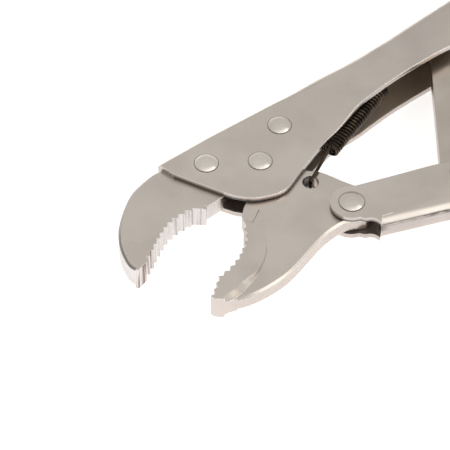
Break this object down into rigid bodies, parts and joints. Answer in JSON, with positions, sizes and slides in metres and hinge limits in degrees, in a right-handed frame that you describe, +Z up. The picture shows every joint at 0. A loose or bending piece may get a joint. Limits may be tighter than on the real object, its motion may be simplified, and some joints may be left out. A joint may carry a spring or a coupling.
{
  "type": "locking pliers",
  "caption": "Curved-jaw locking pliers with pressed-steel channel handles, over-centre toggle link, release lever, return spring and rear adjusting screw.",
  "frame": {"origin": "centre of the outline in plan, on the surface the tool lies on", "axes": "+X from the jaws to the adjusting knob, +Y towards the upper handle's spine, +Z up out of the tool's near side face"},
  "size_m": [0.2438, 0.1474, 0.0195],
  "materials": {
    "plated_sheet": "satin nickel plate on pressed sheet steel",
    "plated_jaw": "satin nickel plate on forged steel",
    "plated_rivet": "satin nickel plate, peened heads",
    "plated_screw": "bright nickel plate, knurled head",
    "spring_steel": "oiled dark spring wire"
  },
  "bodies": {
    "frame": {"upper_handle": "plated_sheet", "fixed_jaw": "plated_jaw", "front_jaw_rivet": "plated_rivet", "rear_jaw_rivet": "plated_rivet", "jaw_pivot_rivet": "plated_rivet", "return_spring": "spring_steel"},
    "jaw": {"moving_jaw": "plated_jaw"},
    "lower": {"lower_handle": "plated_sheet", "handle_pivot_rivet": "plated_rivet", "link_rivet": "plated_rivet", "lever_rivet": "plated_rivet"},
    "link": {"toggle_link": "plated_jaw"},
    "lever": {"release_lever": "plated_sheet"},
    "screw": {"adjusting_screw": "plated_screw"},
    "knob": {"adjusting_knob": "plated_screw"}
  },
  "joints": [
    {"name": "jaw_pivot", "type": "hinge", "parent": "frame", "child": "jaw", "pos_m": [-0.0561, 0.05206, 0.00975], "axis": [0, 0, 1], "range_deg": [-23.5, 0], "stiffness_Nm_per_rad": 0.1, "springref_deg": 17.19, "deforming": ["return_spring"]},
    {"name": "handle_pivot", "type": "hinge", "parent": "jaw", "child": "lower", "pos_m": [-0.0423, 0.01716, 0.00975], "axis": [0, 0, 1], "range_deg": [0, 42.07]},
    {"name": "link_pivot", "type": "hinge", "parent": "lower", "child": "link", "pos_m": [-0.00188, 0.00371, 0.00975], "axis": [0, 0, 1], "range_deg": [-33.29, 0]},
    {"name": "release_lever_pivot", "type": "hinge", "parent": "lower", "child": "lever", "pos_m": [0.02429, -0.02344, 0.00975], "axis": [0, 0, 1], "range_deg": [-8, 0]},
    {"name": "screw_travel", "type": "slide", "parent": "frame", "child": "screw", "axis": [1, 0, 0], "range_m": [0, 0.009]},
    {"name": "knob_turn", "type": "hinge", "parent": "screw", "child": "knob", "pos_m": [0.1039, 0.05906, 0.00975], "axis": [1, 0, 0], "range_deg": [0, 2162]}
  ],
  "couplings": [
    {"joint": "handle_pivot", "follows": "jaw_pivot", "ratio": -1.7899},
    {"joint": "link_pivot", "follows": "jaw_pivot", "ratio": 1.4163},
    {"joint": "knob_turn", "follows": "screw_travel", "rad_per_m": 4188.8}
  ]
}
